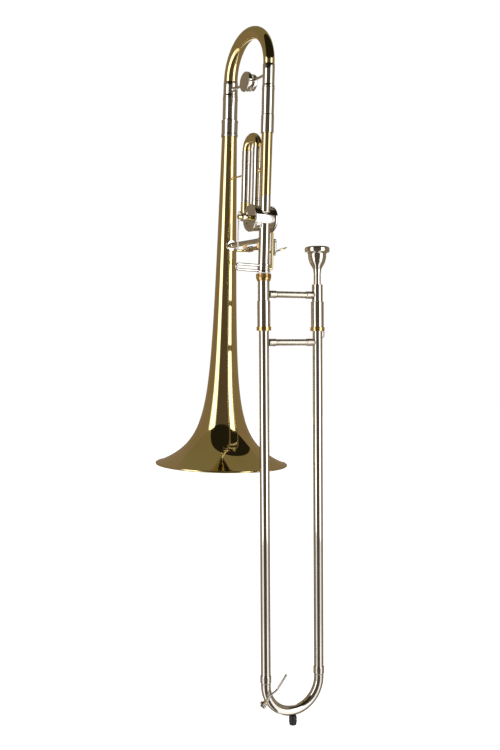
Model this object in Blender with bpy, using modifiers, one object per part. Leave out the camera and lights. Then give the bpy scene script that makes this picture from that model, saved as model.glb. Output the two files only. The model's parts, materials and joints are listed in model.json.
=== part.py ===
"""Tenor trombone with an F attachment: slide, bell section, rotary valve and thumb lever.

Metres, +Z up. The origin is on the slide joint's axis, at the top face of the lock nut.
The slide's two tubes lie in the XZ plane, the bell section in a plane turned from it.
"""
import math

import bmesh
import bpy
from mathutils import Vector

MM = 0.001
GAP = 0.3 * MM
SIDES = 18

# Hand slide
SLIDE_SPACING = 96 * MM
OUTER_TUBE_RADIUS = 7.75 * MM
OUTER_TUBE_WALL = 0.45 * MM
RUNNING_CLEARANCE = 0.08 * MM
# Wide enough for the flat facets of one round part to turn inside another
TURNING_CLEARANCE = 0.2 * MM
INNER_TUBE_WALL = 0.6 * MM
BARREL_RADIUS = 10.2 * MM
BARREL_TOP = -42 * MM
BARREL_BOTTOM = -82.5 * MM
BARREL_RING_RADIUS = 11.4 * MM
BARREL_RING_LENGTH = 6.2 * MM
CORK_LENGTH = 7 * MM
SLEEVE_RADIUS = 9.1 * MM
OUTER_TUBE_TOP = -52 * MM
INNER_TUBE_BOTTOM = -620 * MM
CROOK_TANGENT = -646 * MM
CROOK_FERRULE_LENGTH = 12 * MM
CROOK_FERRULE_WALL = 0.9 * MM
INNER_BRACE_HEIGHT = -32 * MM
OUTER_BRACE_HEIGHT = -107 * MM
BRACE_RADIUS = 5.0 * MM
BRACE_SOCKET_RADIUS = 5.8 * MM
BRACE_SOCKET_LENGTH = 12 * MM
BUMPER_RADIUS = 6.3 * MM
BUMPER_LENGTH = 15 * MM

# Mouthpiece
RIM_RADIUS = 19.8 * MM
MOUTHPIECE_TOP = 45 * MM
RIM_HEIGHT = 9 * MM
CUP_RADIUS = 12.6 * MM
CUP_DEPTH = 24 * MM
BACKBORE_RADIUS = 3.6 * MM
SHANK_RADIUS = 5.6 * MM
SHANK_TIP_RADIUS = 5.0 * MM
SHANK_BOTTOM = -30 * MM
MOUTHPIECE_RECEIVER_TOP = -15 * MM

# Bell section, in its own turned frame: Y runs from the neck to the bell, X is square to both
BELL_TURN = math.radians(4)
BELL_LEAN = math.radians(1.8)
LEAN_DIRECTION = math.radians(64)
BELL_DISTANCE = 122 * MM
BELL_RIM_RADIUS = 110 * MM
BELL_RIM_HEIGHT = -310 * MM
BELL_STEM_TOP = 232 * MM
BELL_CONE_RADIUS = 21 * MM
BELL_CONE_TAPER = 0.0164
BELL_FLARE_LENGTH = 103 * MM
BELL_FLARE_POWER = 3
BELL_WALL = 0.8 * MM
BELL_BEAD_RADIUS = 1.8 * MM
BELL_FERRULE_TOP = 260 * MM
BELL_FERRULE_RADIUS = 13.8 * MM
BELL_SLEEVE_TOP = 301 * MM
BELL_LEG_RADIUS = 11.3 * MM
NECK_FERRULE_BOTTOM = 216 * MM
NECK_FERRULE_TOP = 244 * MM
NECK_SLEEVE_TOP = 290 * MM
NECK_LEG_RADIUS = 8.7 * MM
SLEEVE_WALL = 0.9 * MM
LEG_WALL = 0.5 * MM
BOW_TANGENT = 322 * MM
NECK_RADIUS = 7.9 * MM
NECK_TOP_RADIUS = 8.6 * MM
NICKEL_NECK_TOP = 120 * MM
KNUCKLE_STANDOFF = 9 * MM
RECEIVER_RADIUS = 8.9 * MM
RECEIVER_RING_RADIUS = 10.2 * MM
RECEIVER_RING_LENGTH = 14 * MM
NUT_RADIUS = 11.9 * MM
NUT_LENGTH = 12 * MM
WEIGHT_RADIUS = 16 * MM
WEIGHT_THICKNESS = 6 * MM
# Below the bow, between the legs' ferrules
TUNING_BRACE_DROP = 14 * MM
TUNING_BRACE_RADIUS = 2.2 * MM

# Rotary valve and F attachment
VALVE_HEIGHT = 85.5 * MM
VALVE_OFFSET = 14 * MM
CASING_RADIUS = 20 * MM
CASING_WALL = 2.6 * MM
CASING_LENGTH = 32 * MM
CAP_THICKNESS = 3.5 * MM
CAP_RADIUS = 21.3 * MM
SPINDLE_RADIUS = 4.4 * MM
SPINDLE_REACH = 20 * MM
ARM_LENGTH = 14 * MM
ARM_THICKNESS = 2.4 * MM
ARM_REST_ANGLE = math.radians(45)
F_NEAR_OFFSET = 28 * MM
F_FAR_OFFSET = 62 * MM
F_TUBE_RADIUS = 7.6 * MM
F_SLEEVE_TOP = 176 * MM
F_SLEEVE_BOTTOM = 116 * MM
F_BRACE_DROP = 14 * MM
F_LEG_RADIUS = 6.9 * MM
F_BOW_TANGENT = 199 * MM
F_ELBOW_RADIUS = 22 * MM

# Thumb lever and its braces
MAIN_BRACE_HEIGHT = 52 * MM
MAIN_BRACE_RADIUS = 4 * MM
AXLE_HEIGHT = 41 * MM
AXLE_RADIUS = 1.6 * MM
POST_RADIUS = 3.4 * MM
AXLE_NEAR = 13 * MM
AXLE_FAR = 64 * MM
LEVER_BARREL_RADIUS = 3.2 * MM
LEVER_BARREL_NEAR = 20 * MM
LEVER_BARREL_FAR = 36 * MM
LEVER_ARM_RADIUS = 1.8 * MM
PADDLE_LENGTH = 24 * MM
PADDLE_WIDTH = 14 * MM
PADDLE_THICKNESS = 1.8 * MM
LINK_RADIUS = 1.2 * MM
SPRING_WIRE = 0.5 * MM
SPRING_RADIUS = 4.2 * MM
SPRING_TURNS = 5
SPRING_PITCH = 2.0 * MM
FINGER_REST_RADIUS = 2.1 * MM
FINGER_REST_REACH = 38 * MM


def clear_scene():
    for obj in list(bpy.data.objects):
        bpy.data.objects.remove(obj, do_unlink=True)


clear_scene()
PARTS = bpy.data.collections.new("tenor_trombone")
CUTTERS = bpy.data.collections.new("cutters")
bpy.context.scene.collection.children.link(PARTS)
bpy.context.scene.collection.children.link(CUTTERS)


def make_material(name, colour, metallic, roughness):
    material = bpy.data.materials.new(name)
    material.use_nodes = True
    shader = material.node_tree.nodes["Principled BSDF"]
    shader.inputs["Base Color"].default_value = (*colour, 1)
    shader.inputs["Metallic"].default_value = metallic
    shader.inputs["Roughness"].default_value = roughness
    return material


FINISHES = {
    "brass": ((0.72, 0.56, 0.20), 1, 0.15),
    "nickel": ((0.75, 0.71, 0.64), 1, 0.15),
    "gold": ((0.83, 0.62, 0.28), 1, 0.2),
    "steel": ((0.6, 0.6, 0.6), 1, 0.3),
    "rubber": ((0.02, 0.02, 0.02), 0, 0.6),
    "cork": ((0.5, 0.33, 0.18), 0, 0.9),
}


def place(obj, finish, parent=None):
    """Give a part its own material and put it in the object's collection."""
    colour, metallic, roughness = FINISHES[finish]
    obj.data.materials.clear()
    obj.data.materials.append(make_material(obj.name, colour, metallic, roughness))
    for collection in list(obj.users_collection):
        collection.objects.unlink(obj)
    PARTS.objects.link(obj)
    if parent:
        obj.parent = parent
    return obj


def turned(name, profile, finish, parent=None, location=(0, 0, 0), rotation=(0, 0, 0),
           hollow=True, sides=SIDES):
    """A profile of (radius, height), outer side top to bottom, turned about its own Z axis."""
    mesh = bpy.data.meshes.new(name)
    points = [(radius, 0, height) for radius, height in profile]
    count = len(points)
    edges = [(i, i + 1) for i in range(count - 1)]
    if hollow:
        edges.append((count - 1, 0))
    mesh.from_pydata(points, edges, [])
    obj = bpy.data.objects.new(name, mesh)
    place(obj, finish, parent)
    obj.location = location
    obj.rotation_euler = rotation
    screw = obj.modifiers.new("turn", "SCREW")
    screw.steps = sides
    screw.render_steps = sides
    screw.use_merge_vertices = True
    screw.merge_threshold = 0.00001
    screw.use_smooth_shade = True
    return obj


def pipe(name, outer, wall, top, bottom, finish, parent=None, location=(0, 0, 0)):
    profile = [(outer, top), (outer, bottom), (outer - wall, bottom), (outer - wall, top)]
    return turned(name, profile, finish, parent, location)


def bent(name, points, radius, finish, parent=None, radii=None, resolution=4, location=(0, 0, 0)):
    """A round tube or rod along a line of points, with flat ends."""
    curve = bpy.data.curves.new(name, "CURVE")
    curve.dimensions = "3D"
    curve.bevel_depth = radius
    curve.bevel_resolution = resolution
    curve.use_fill_caps = True
    spline = curve.splines.new("POLY")
    spline.points.add(len(points) - 1)
    for i, point in enumerate(points):
        spline.points[i].co = (*point, 1)
        if radii:
            spline.points[i].radius = radii[i]
    obj = bpy.data.objects.new(name, curve)
    place(obj, finish, parent)
    obj.location = location
    return obj


def solid_from_curve(obj):
    """The welded mesh of a curve object, under the same name, parent and place."""
    bpy.context.view_layer.update()
    evaluated = obj.evaluated_get(bpy.context.evaluated_depsgraph_get())
    mesh = bpy.data.meshes.new_from_object(evaluated)
    work = bmesh.new()
    work.from_mesh(mesh)
    bmesh.ops.remove_doubles(work, verts=work.verts, dist=0.000005)
    work.to_mesh(mesh)
    work.free()
    name = obj.name
    parent = obj.parent
    location = obj.location.copy()
    rotation = obj.rotation_euler.copy()
    materials = list(obj.data.materials)
    collection = obj.users_collection[0]
    bpy.data.objects.remove(obj, do_unlink=True)
    solid = bpy.data.objects.new(name, mesh)
    collection.objects.link(solid)
    mesh.materials.clear()
    for material in materials:
        mesh.materials.append(material)
    solid.parent = parent
    solid.location = location
    solid.rotation_euler = rotation
    return solid


def cylinder_mesh(name, radius, length, sides=SIDES):
    mesh = bpy.data.meshes.new(name)
    work = bmesh.new()
    bmesh.ops.create_cone(work, cap_ends=True, segments=sides, radius1=radius, radius2=radius,
                          depth=length)
    work.to_mesh(mesh)
    work.free()
    return mesh


def rod(name, radius, start, end, finish, parent=None, sides=SIDES):
    """A straight round bar from start to end, in its parent's frame."""
    start = Vector(start)
    end = Vector(end)
    mesh = cylinder_mesh(name, radius, (end - start).length, sides)
    obj = bpy.data.objects.new(name, mesh)
    place(obj, finish, parent)
    obj.location = (start + end) / 2
    obj.rotation_euler = (end - start).to_track_quat("Z", "Y").to_euler()
    return obj


def cutter(name, radius, start, end, parent=None, sides=48):
    obj = rod(name, radius, start, end, "steel", parent, sides)
    PARTS.objects.unlink(obj)
    CUTTERS.objects.link(obj)
    obj.hide_render = True
    obj.display_type = "WIRE"
    return obj


def cut(obj, tool, operation="DIFFERENCE"):
    boolean = obj.modifiers.new(tool.name, "BOOLEAN")
    boolean.operation = operation
    boolean.object = tool
    boolean.solver = "EXACT"
    return obj


def arc(centre, radius, start, end, steps, plane):
    """Points on an arc from start to end (degrees) in a plane given by two unit vectors."""
    first, second = plane
    points = []
    for i in range(steps + 1):
        angle = math.radians(start + (end - start) * i / steps)
        points.append(Vector(centre) + radius * (math.cos(angle) * first + math.sin(angle) * second))
    return points


X = Vector((1, 0, 0))
Y = Vector((0, 1, 0))
Z = Vector((0, 0, 1))

def u_bend(near, far, height, steps):
    """Points of a half-round bow in the bell's plane, with a short straight lead at each end."""
    lead = 2 * MM
    radius = (far - near) / 2
    centre = (0, near + radius, height + lead)
    points = [Vector((0, near, height))]
    points += arc(centre, radius, 0, 180, steps, (-Y, Z))
    points.append(Vector((0, far, height)))
    return points


bell_section = bpy.data.objects.new("bell_section", None)
PARTS.objects.link(bell_section)
bell_section.rotation_euler = (BELL_LEAN * math.cos(LEAN_DIRECTION),
                               BELL_LEAN * math.sin(LEAN_DIRECTION), BELL_TURN)


def bell_radius(distance):
    """Outer radius of the bell at a distance above its rim: a cone plus a flare."""
    flare = BELL_RIM_RADIUS - BELL_CONE_RADIUS
    spread = (1 + distance / BELL_FLARE_LENGTH) ** -BELL_FLARE_POWER
    return BELL_CONE_RADIUS - BELL_CONE_TAPER * distance + flare * spread


def build_bell():
    length = BELL_STEM_TOP - GAP - BELL_RIM_HEIGHT
    stations = 18
    outer = []
    for i in range(stations + 1):
        distance = length * (1 - i / stations) ** 2.2
        outer.append((bell_radius(distance), BELL_RIM_HEIGHT + distance))
    rim_radius, rim_height = outer.pop()
    centre = rim_height - BELL_BEAD_RADIUS * 0.2
    bead = []
    for angle in range(60, -181, -40):
        turn = math.radians(angle)
        bead.append((rim_radius - BELL_BEAD_RADIUS + BELL_BEAD_RADIUS * math.cos(turn),
                     centre + BELL_BEAD_RADIUS * math.sin(turn)))
    inner = [(radius - BELL_WALL, height) for radius, height in reversed(outer)]
    inner = [point for point in inner if point[1] > centre + 1.2 * BELL_BEAD_RADIUS]
    outer = [point for point in outer if point[1] > centre + 1.2 * BELL_BEAD_RADIUS]
    turned("bell", outer + bead + inner, "brass", bell_section, (0, BELL_DISTANCE, 0), sides=40)
    stem = bell_radius(length)
    outer = BELL_LEG_RADIUS + SLEEVE_WALL
    bore = BELL_LEG_RADIUS + RUNNING_CLEARANCE
    turned("bell_tuning_sleeve", [(outer, BELL_SLEEVE_TOP), (outer, BELL_FERRULE_TOP),
                                  (BELL_FERRULE_RADIUS, BELL_FERRULE_TOP - 1 * MM),
                                  (BELL_FERRULE_RADIUS, BELL_STEM_TOP), (stem - BELL_WALL, BELL_STEM_TOP),
                                  (bore, BELL_FERRULE_TOP), (bore, BELL_SLEEVE_TOP)],
           "nickel", bell_section, (0, BELL_DISTANCE, 0))


def tuning_leg(name, radius, sleeve_top, sleeve_bottom, location):
    """Ferrule of a tuning slide with its thinner leg, which runs in the sleeve below it."""
    ferrule = radius + SLEEVE_WALL * 0.6
    top = BOW_TANGENT - GAP
    shoulder = sleeve_top + GAP
    bottom = sleeve_bottom + 4 * MM
    profile = [(ferrule, top), (ferrule, shoulder), (radius, shoulder), (radius, bottom),
               (radius - LEG_WALL, bottom), (radius - LEG_WALL, top)]
    turned(name, profile, "nickel", bell_section, location)


def build_tuning_slide():
    tuning_leg("bell_tuning_leg", BELL_LEG_RADIUS, BELL_SLEEVE_TOP, BELL_FERRULE_TOP,
               (0, BELL_DISTANCE, 0))
    tuning_leg("neck_tuning_leg", NECK_LEG_RADIUS, NECK_SLEEVE_TOP, NECK_FERRULE_TOP, (0, 0, 0))
    points = u_bend(0, BELL_DISTANCE, BOW_TANGENT, 24)
    growth = BELL_LEG_RADIUS / NECK_LEG_RADIUS - 1
    last = len(points) - 1
    radii = [1 + growth * i / last for i in range(last + 1)]
    bent("tuning_bow", points, NECK_LEG_RADIUS, "brass", bell_section, radii, 4)
    near = NECK_LEG_RADIUS + SLEEVE_WALL * 0.6 + GAP
    far = BELL_DISTANCE - BELL_LEG_RADIUS - SLEEVE_WALL * 0.6 - GAP
    middle = BELL_DISTANCE / 2
    half = WEIGHT_THICKNESS / 2
    height = BOW_TANGENT - TUNING_BRACE_DROP
    rod("tuning_brace", TUNING_BRACE_RADIUS, (0, near, height), (0, far, height), "nickel",
        bell_section, 16)
    clearance = TUNING_BRACE_RADIUS + GAP
    profile = [(0, half), (WEIGHT_RADIUS - 1 * MM, half), (WEIGHT_RADIUS, half - 1 * MM),
               (WEIGHT_RADIUS, 1 * MM - half), (WEIGHT_RADIUS - 1 * MM, -half), (0, -half)]
    for name, side, size in (("front_balance_weight", -1, 1.0), ("rear_balance_weight", 1, 0.85)):
        scaled = [(radius * size, z) for radius, z in profile]
        turned(name, scaled, "nickel", bell_section,
               (side * (clearance + half), middle, height), (0, math.radians(90), 0), hollow=False)


def build_neck():
    casing_cutter = cutter("casing_cutter", CASING_RADIUS + GAP,
                           (-CASING_LENGTH, VALVE_OFFSET, VALVE_HEIGHT),
                           (CASING_LENGTH, VALVE_OFFSET, VALVE_HEIGHT), bell_section)
    knuckle = rod("neck_knuckle", NECK_RADIUS, (0, 0, NICKEL_NECK_TOP),
                  (0, 0, VALVE_HEIGHT + KNUCKLE_STANDOFF), "nickel", bell_section)
    cut(knuckle, casing_cutter)
    outer = NECK_TOP_RADIUS
    turned("gooseneck", [(outer, NECK_FERRULE_BOTTOM - GAP), (NECK_RADIUS, NICKEL_NECK_TOP + GAP),
                         (NECK_RADIUS - 1 * MM, NICKEL_NECK_TOP + GAP),
                         (outer - 1 * MM, NECK_FERRULE_BOTTOM - GAP)], "brass", bell_section)
    ferrule = NECK_LEG_RADIUS + SLEEVE_WALL
    bore = NECK_LEG_RADIUS + RUNNING_CLEARANCE
    turned("neck_tuning_sleeve", [(ferrule, NECK_SLEEVE_TOP), (ferrule, NECK_FERRULE_TOP),
                                  (ferrule + 0.4 * MM, NECK_FERRULE_TOP - 0.6 * MM),
                                  (ferrule + 0.4 * MM, NECK_FERRULE_BOTTOM),
                                  (NECK_TOP_RADIUS - 1 * MM, NECK_FERRULE_BOTTOM),
                                  (bore, NECK_FERRULE_TOP), (bore, NECK_SLEEVE_TOP)],
           "nickel", bell_section)
    receiver = rod("receiver_tube", RECEIVER_RADIUS, (0, 0, VALVE_HEIGHT - KNUCKLE_STANDOFF),
                   (0, 0, RECEIVER_RING_LENGTH + GAP), "nickel", bell_section)
    cut(receiver, casing_cutter)
    ring = RECEIVER_RING_RADIUS
    turned("receiver_ring", [(0, RECEIVER_RING_LENGTH), (ring - 0.6 * MM, RECEIVER_RING_LENGTH),
                             (ring, RECEIVER_RING_LENGTH - 0.6 * MM), (ring, 1 * MM), (0, 1 * MM)],
           "nickel", bell_section, hollow=False)
    return casing_cutter


def along_x(name, profile, finish, at, hollow=True, sides=28):
    """A turned piece whose own axis runs along the bell section's X."""
    return turned(name, profile, finish, bell_section, at, (0, math.radians(90), 0), hollow, sides)


def build_valve():
    centre = (0, VALVE_OFFSET, VALVE_HEIGHT)
    half = CASING_LENGTH / 2
    bore = CASING_RADIUS - CASING_WALL
    along_x("valve_casing", [(CASING_RADIUS, half), (CASING_RADIUS, -half), (bore, -half),
                             (bore, half)], "nickel", centre)
    rotor_half = half - 0.5 * MM
    rotor_radius = bore - TURNING_CLEARANCE
    front = -half - CAP_THICKNESS - GAP
    rotor = [(0, rotor_half), (rotor_radius, rotor_half), (rotor_radius, -rotor_half),
             (SPINDLE_RADIUS, -rotor_half), (SPINDLE_RADIUS, front - SPINDLE_REACH),
             (0, front - SPINDLE_REACH)]
    body = along_x("rotor", rotor, "brass", centre, hollow=False)
    for name, side in (("upper_passage", 1), ("lower_passage", -1)):
        height = VALVE_HEIGHT + side * 1.15 * bore
        passage = cutter(name, 0.62 * bore, (0, VALVE_OFFSET - CASING_RADIUS, height),
                         (0, VALVE_OFFSET + CASING_RADIUS, height), bell_section, 24)
        cut(body, passage)
    spindle_bore = SPINDLE_RADIUS + TURNING_CLEARANCE
    along_x("front_cap", [(spindle_bore, -half - GAP), (CAP_RADIUS, -half - GAP),
                          (CAP_RADIUS, -half - GAP - CAP_THICKNESS * 0.7),
                          (CAP_RADIUS - 1 * MM, -half - GAP - CAP_THICKNESS),
                          (CAP_RADIUS * 0.62, -half - GAP - CAP_THICKNESS),
                          (CAP_RADIUS * 0.56, -half - GAP - CAP_THICKNESS * 0.5),
                          (spindle_bore, -half - GAP - CAP_THICKNESS * 0.5)], "nickel", centre)
    along_x("rear_cap", [(0, half + GAP + CAP_THICKNESS), (CAP_RADIUS - 1 * MM, half + GAP + CAP_THICKNESS),
                         (CAP_RADIUS, half + GAP + CAP_THICKNESS * 0.7), (CAP_RADIUS, half + GAP),
                         (0, half + GAP)], "nickel", centre, hollow=False)
    return front - SPINDLE_REACH * 0.55


def build_f_attachment(casing_cutter):
    knuckle = rod("f_inlet_knuckle", F_TUBE_RADIUS, (0, F_NEAR_OFFSET, F_SLEEVE_BOTTOM - GAP),
                  (0, F_NEAR_OFFSET, VALVE_HEIGHT - 3 * MM + F_TUBE_RADIUS + 2 * GAP), "nickel",
                  bell_section)
    cut(knuckle, casing_cutter)
    for name, offset in (("f_inlet_sleeve", F_NEAR_OFFSET), ("f_return_sleeve", F_FAR_OFFSET)):
        pipe(name, F_TUBE_RADIUS, F_TUBE_RADIUS - F_LEG_RADIUS - RUNNING_CLEARANCE, F_SLEEVE_TOP,
             F_SLEEVE_BOTTOM, "nickel", bell_section, (0, offset, 0))
    bend_height = VALVE_HEIGHT - 3 * MM
    centre = (0, F_FAR_OFFSET - F_ELBOW_RADIUS, bend_height + F_ELBOW_RADIUS)
    points = [Vector((0, F_FAR_OFFSET, F_SLEEVE_BOTTOM - GAP))]
    points += arc(centre, F_ELBOW_RADIUS, 0, -90, 8, (Y, Z))
    points.append(Vector((0, VALVE_OFFSET + 0.6 * CASING_RADIUS, bend_height)))
    elbow = solid_from_curve(bent("f_return_elbow", points, F_TUBE_RADIUS, "brass", bell_section,
                                  resolution=4))
    cut(elbow, casing_cutter)
    ferrule = F_TUBE_RADIUS
    top = F_BOW_TANGENT - GAP
    shoulder = F_SLEEVE_TOP + GAP
    bottom = F_SLEEVE_BOTTOM + 4 * MM
    profile = [(ferrule, top), (ferrule, shoulder), (F_LEG_RADIUS, shoulder), (F_LEG_RADIUS, bottom),
               (F_LEG_RADIUS - LEG_WALL, bottom), (F_LEG_RADIUS - LEG_WALL, top)]
    for name, offset in (("f_inlet_leg", F_NEAR_OFFSET), ("f_return_leg", F_FAR_OFFSET)):
        turned(name, profile, "nickel", bell_section, (0, offset, 0))
    points = u_bend(F_NEAR_OFFSET, F_FAR_OFFSET, F_BOW_TANGENT, 16)
    bent("f_bow", points, F_LEG_RADIUS, "brass", bell_section, resolution=4)
    height = F_SLEEVE_TOP - F_BRACE_DROP
    clear = F_TUBE_RADIUS + GAP
    stem = bell_radius(height - BELL_RIM_HEIGHT)
    rod("f_bell_brace", 1.8 * MM, (0, F_FAR_OFFSET + clear, height),
        (0, BELL_DISTANCE - stem - GAP, height), "gold", bell_section, 12)
    rod("f_neck_brace", 2.4 * MM, (0, NECK_TOP_RADIUS + GAP, height),
        (0, F_NEAR_OFFSET - clear, height), "gold", bell_section, 12)


def build_lever_braces():
    height = MAIN_BRACE_HEIGHT
    stem = bell_radius(height - BELL_RIM_HEIGHT)
    rod("main_brace", MAIN_BRACE_RADIUS, (0, RECEIVER_RADIUS + GAP, height),
        (0, BELL_DISTANCE - stem - 2 * MM, height), "nickel", bell_section)
    flange = rod("brace_flange", 2.2 * MAIN_BRACE_RADIUS,
                 (0, BELL_DISTANCE - stem - 2 * MM + GAP, height), (0, BELL_DISTANCE, height),
                 "nickel", bell_section)
    stem_cutter = cutter("stem_cutter", stem + GAP, (0, BELL_DISTANCE, height - 30 * MM),
                         (0, BELL_DISTANCE, height + 30 * MM), bell_section)
    cut(flange, stem_cutter)
    rod("lever_axle", AXLE_RADIUS, (0, AXLE_NEAR, AXLE_HEIGHT), (0, AXLE_FAR, AXLE_HEIGHT),
        "steel", bell_section, 16)
    near_post = LEVER_BARREL_NEAR - POST_RADIUS - GAP
    for name, offset in (("axle_post_near", near_post), ("axle_post_far", AXLE_FAR - POST_RADIUS)):
        post = rod(name, POST_RADIUS, (0, offset, AXLE_HEIGHT - 1 * MM), (0, offset, height), "gold",
                   bell_section, 16)
        start = offset - 2 * POST_RADIUS
        end = offset + 2 * POST_RADIUS
        bore = cutter(name + "_bore", AXLE_RADIUS + RUNNING_CLEARANCE, (0, start, AXLE_HEIGHT),
                      (0, end, AXLE_HEIGHT), bell_section, 16)
        seat = cutter(name + "_seat", MAIN_BRACE_RADIUS + GAP, (0, start, height), (0, end, height),
                      bell_section, 24)
        cut(post, bore)
        cut(post, seat)


def build_stop_arm(plane):
    """Stop arm on the rotor's spindle. Returns the place of the link rod's top, beside its tip."""
    direction = Vector((0, math.cos(ARM_REST_ANGLE), math.sin(ARM_REST_ANGLE)))
    hub = Vector((plane, VALVE_OFFSET, VALVE_HEIGHT))
    half = ARM_THICKNESS / 2
    bore = SPINDLE_RADIUS + GAP
    along_x("stop_arm_hub", [(bore, half * 2), (bore + 2 * MM, half * 2), (bore + 2 * MM, -half * 2),
                             (bore, -half * 2)], "nickel", hub, sides=24)
    reach = bore + 2 * MM + GAP
    rod("stop_arm", half, hub + direction * reach, hub + direction * ARM_LENGTH, "nickel",
        bell_section, 12)
    beside = Vector((-half - LINK_RADIUS - GAP, 0, 0))
    return hub + direction * ARM_LENGTH + beside


def build_thumb_lever(link_top):
    middle = (LEVER_BARREL_NEAR + LEVER_BARREL_FAR) / 2
    barrel_bore = AXLE_RADIUS + TURNING_CLEARANCE
    length = LEVER_BARREL_FAR - LEVER_BARREL_NEAR
    barrel = rod("thumb_lever", LEVER_BARREL_RADIUS, (0, LEVER_BARREL_NEAR, AXLE_HEIGHT),
                 (0, LEVER_BARREL_FAR, AXLE_HEIGHT), "brass", bell_section)
    beside = Vector((0, LEVER_ARM_RADIUS + LINK_RADIUS + GAP, 0))
    tip = Vector((link_top.x, link_top.y, AXLE_HEIGHT - 6 * MM)) + beside
    arm = solid_from_curve(bent("lever_link_arm", [Vector((0, tip.y, AXLE_HEIGHT)),
                                                   Vector((-10 * MM, tip.y, AXLE_HEIGHT - 5 * MM)),
                                                   tip], LEVER_ARM_RADIUS, "brass", bell_section))
    root_y = LEVER_BARREL_NEAR + 3 * MM
    tail = [Vector((0, root_y, AXLE_HEIGHT)), Vector((10 * MM, root_y, AXLE_HEIGHT - 4 * MM)),
            Vector((20 * MM, root_y - 8 * MM, AXLE_HEIGHT - 6 * MM)),
            Vector((26 * MM, root_y - 14 * MM, AXLE_HEIGHT - 3 * MM))]
    stalk = solid_from_curve(bent("lever_stalk", tail, LEVER_ARM_RADIUS, "brass", bell_section))
    mesh = cylinder_mesh("paddle_form", 0.5, 1, 28)
    paddle = bpy.data.objects.new("paddle_form", mesh)
    place(paddle, "brass", bell_section)
    paddle.scale = (PADDLE_LENGTH, PADDLE_WIDTH, PADDLE_THICKNESS)
    paddle.location = tail[-1] + Vector((PADDLE_LENGTH * 0.36, -1 * MM, 2.2 * MM))
    paddle.rotation_euler = (0, math.radians(-22), 0)
    for form in (arm, stalk, paddle):
        PARTS.objects.unlink(form)
        CUTTERS.objects.link(form)
        form.hide_render = True
        form.display_type = "WIRE"
        cut(barrel, form, "UNION")
    bore = cutter("lever_bore", barrel_bore, (0, middle - length, AXLE_HEIGHT),
                  (0, middle + length, AXLE_HEIGHT), bell_section, 16)
    cut(barrel, bore)
    bottom = tip - beside
    rod("link_rod", LINK_RADIUS, bottom, link_top, "nickel", bell_section, 12)
    points = []
    per_turn = 8
    start = LEVER_BARREL_FAR + 2 * MM
    for i in range(SPRING_TURNS * per_turn + 1):
        turn = 2 * math.pi * i / per_turn
        along = start + SPRING_PITCH * i / per_turn
        points.append((SPRING_RADIUS * math.cos(turn), along,
                       AXLE_HEIGHT + SPRING_RADIUS * math.sin(turn)))
    bent("lever_spring", points, SPRING_WIRE, "steel", bell_section, resolution=1)
    per_curl = int(per_turn * 0.75)
    gaps = [(Vector(points[i]) - Vector(points[j])).length - 2 * SPRING_WIRE
            for i in range(len(points)) for j in range(i + per_curl, len(points))]
    print("lever_spring least self-gap", round(min(gaps) / MM, 2), "mm")


def build_finger_rest():
    start = RECEIVER_RING_RADIUS + GAP
    low = 3.5 * MM
    high = 12 * MM - GAP
    radius = (high - low) / 2
    end = -start - FINGER_REST_REACH + radius
    points = [Vector((-start, 0, high)), Vector((end, 0, high))]
    points += arc((end, 0, low + radius), radius, 90, 270, 8, (X, Z))[1:]
    points.append(Vector((-start, 0, low)))
    bent("finger_rest", points, FINGER_REST_RADIUS, "nickel", bell_section)


def build_lock_nut():
    bore = SLEEVE_RADIUS + TURNING_CLEARANCE
    turned("lock_nut", [(bore, -GAP), (NUT_RADIUS - 0.6 * MM, -GAP), (NUT_RADIUS, -1 * MM),
                        (NUT_RADIUS, -7.8 * MM), (bore + 1 * MM, -NUT_LENGTH), (bore, -NUT_LENGTH)],
           "gold")


def build_inner_slide():
    inner = OUTER_TUBE_RADIUS - OUTER_TUBE_WALL - RUNNING_CLEARANCE
    for side, x in (("left", 0), ("right", SLIDE_SPACING)):
        at = (x, 0, 0)
        pipe("inner_tube_" + side, inner, INNER_TUBE_WALL, BARREL_TOP - GAP, INNER_TUBE_BOTTOM,
             "nickel", None, at)
        bore = OUTER_TUBE_RADIUS + 1.2 * MM
        top = BARREL_TOP - GAP
        ring = BARREL_RING_RADIUS
        bottom = BARREL_BOTTOM - BARREL_RING_LENGTH
        profile = [(BARREL_RADIUS, top), (BARREL_RADIUS, BARREL_BOTTOM)]
        if side == "left":
            profile += [(ring, BARREL_BOTTOM - 0.4 * MM), (ring, bottom), (bore, bottom)]
        else:
            profile += [(bore, BARREL_BOTTOM)]
        profile += [(bore, top - 2 * MM), (inner + GAP, top - 2 * MM), (inner + GAP, top)]
        turned("cork_barrel_" + side, profile, "nickel", None, at)
        pipe("barrel_cork_" + side, bore - GAP, bore - inner - 2 * GAP, top - 2 * MM - GAP,
             top - 2 * MM - CORK_LENGTH, "cork", None, at)
    turned("slide_joint", [(0, -GAP), (SLEEVE_RADIUS, -GAP), (SLEEVE_RADIUS, BARREL_TOP),
                           (0, BARREL_TOP)], "nickel", hollow=False)
    bore = SHANK_RADIUS + GAP
    turned("mouthpiece_receiver", [(SLEEVE_RADIUS - 0.5 * MM, MOUTHPIECE_RECEIVER_TOP),
                                   (SLEEVE_RADIUS - 0.5 * MM, BARREL_TOP),
                                   (bore, BARREL_TOP), (bore, MOUTHPIECE_RECEIVER_TOP)],
           "nickel", None, (SLIDE_SPACING, 0, 0))


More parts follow.
